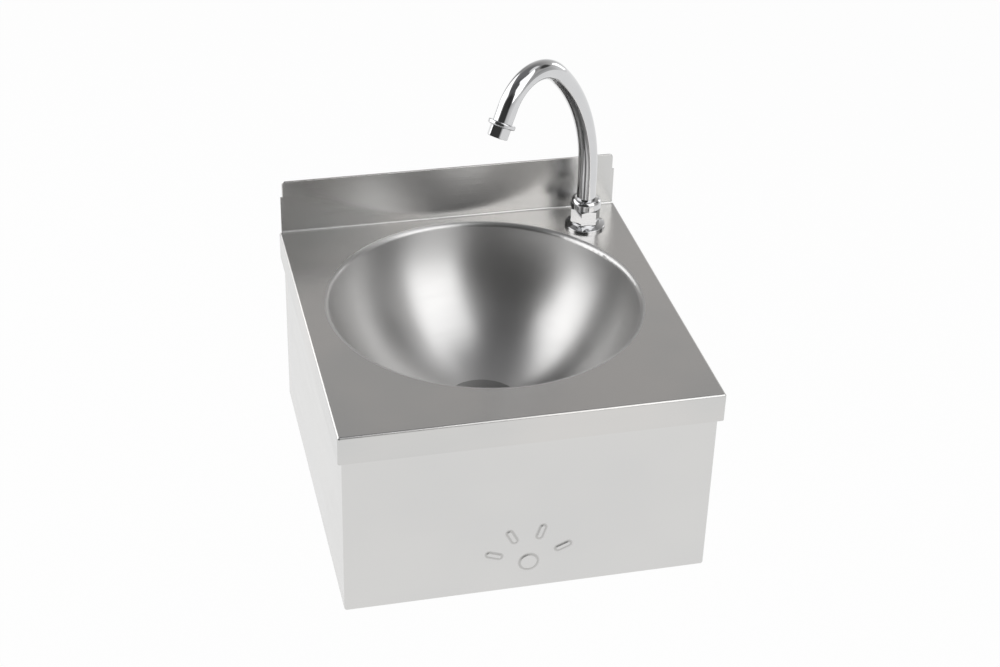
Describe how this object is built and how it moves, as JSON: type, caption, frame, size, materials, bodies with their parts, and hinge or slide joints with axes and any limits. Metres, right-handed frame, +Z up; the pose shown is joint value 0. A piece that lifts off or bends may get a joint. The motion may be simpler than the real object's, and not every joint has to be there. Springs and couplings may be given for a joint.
{
  "type": "wall hand wash basin",
  "caption": "Compact stainless wall basin with a round bowl, swan neck spout and a knee skirt that swings in to press a self-closing water valve.",
  "frame": {"origin": "centre of the four wall holes, on the wall's plane", "axes": "+X to the user's right, +Y into the wall, +Z up"},
  "size_m": [0.4, 0.423, 0.4619],
  "materials": {
    "sheet_steel": "fine straight grain, satin",
    "bowl_steel": "spun satin",
    "frame_steel": "mill finish",
    "tap_chrome": "polished",
    "waste_steel": "polished pressing",
    "button_chrome": "polished",
    "brass": "turned",
    "plated_nuts": "nickel plate",
    "zinc_steel": "bright zinc",
    "spring_steel": "drawn wire",
    "stem_steel": "ground",
    "braided_hose": "woven wire braid",
    "rubber_black": "matt",
    "nylon": "moulded nylon",
    "waste_plastic": "moulded",
    "insert_plastic": "moulded"
  },
  "bodies": {
    "base": {"deck": "sheet_steel", "valve_bracket": "sheet_steel", "bowl": "bowl_steel", "wall_frame": "frame_steel", "side_rail_left": "frame_steel", "side_rail_right": "frame_steel", "tap_body": "tap_chrome", "tap_collar": "tap_chrome", "waste_strainer": "waste_steel", "waste_screw": "waste_steel", "valve_body": "brass", "valve_tail": "brass", "valve_lock_nut": "brass", "inlet_manifold": "brass", "manifold_plug": "brass", "check_valves": "brass", "tap_back_nut": "brass", "hose_nuts": "plated_nuts", "hose_ferrules": "plated_nuts", "pivot_pins": "zinc_steel", "pivot_nuts": "zinc_steel", "stop_studs": "zinc_steel", "stop_nuts": "zinc_steel", "bracket_bolts": "zinc_steel", "bracket_nuts": "zinc_steel", "tap_steel_washer": "zinc_steel", "return_spring": "spring_steel", "supply_hose": "braided_hose", "stop_sleeves": "rubber_black", "tap_rubber_washer": "rubber_black", "tap_base_seal": "rubber_black", "waste_upper_seal": "rubber_black", "waste_lower_seal": "rubber_black", "hose_washers": "rubber_black", "waste_body": "waste_plastic"},
    "knee_skirt": {"skirt": "sheet_steel", "pivot_bushes": "nylon", "push_pad": "nylon"},
    "plunger": {"push_button": "button_chrome", "valve_stem": "stem_steel", "valve_disc": "rubber_black"},
    "spout": {"spout_plug": "brass", "spout_orings": "rubber_black", "spout_tube": "tap_chrome", "spout_ring": "tap_chrome", "outlet_nozzle": "tap_chrome", "outlet_insert": "insert_plastic"}
  },
  "joints": [
    {"name": "skirt_swing", "type": "hinge", "parent": "base", "child": "knee_skirt", "pos_m": [0, -0.363, 0.071], "axis": [1, 0, 0], "range_deg": [0, 2]},
    {"name": "valve_push", "type": "slide", "parent": "base", "child": "plunger", "axis": [0, 1, 0], "range_m": [0, 0.0041], "stiffness_N_per_m": 1500, "springref_m": -0.004, "deforming": ["return_spring"]},
    {"name": "spout_swivel", "type": "hinge", "parent": "base", "child": "spout", "pos_m": [0.1513, -0.05395, 0.11], "axis": [0, 0, 1], "range_deg": [-40, 150]}
  ],
  "couplings": [
    {"joint": "valve_push", "follows": "skirt_swing", "m_per_rad": 0.116}
  ]
}
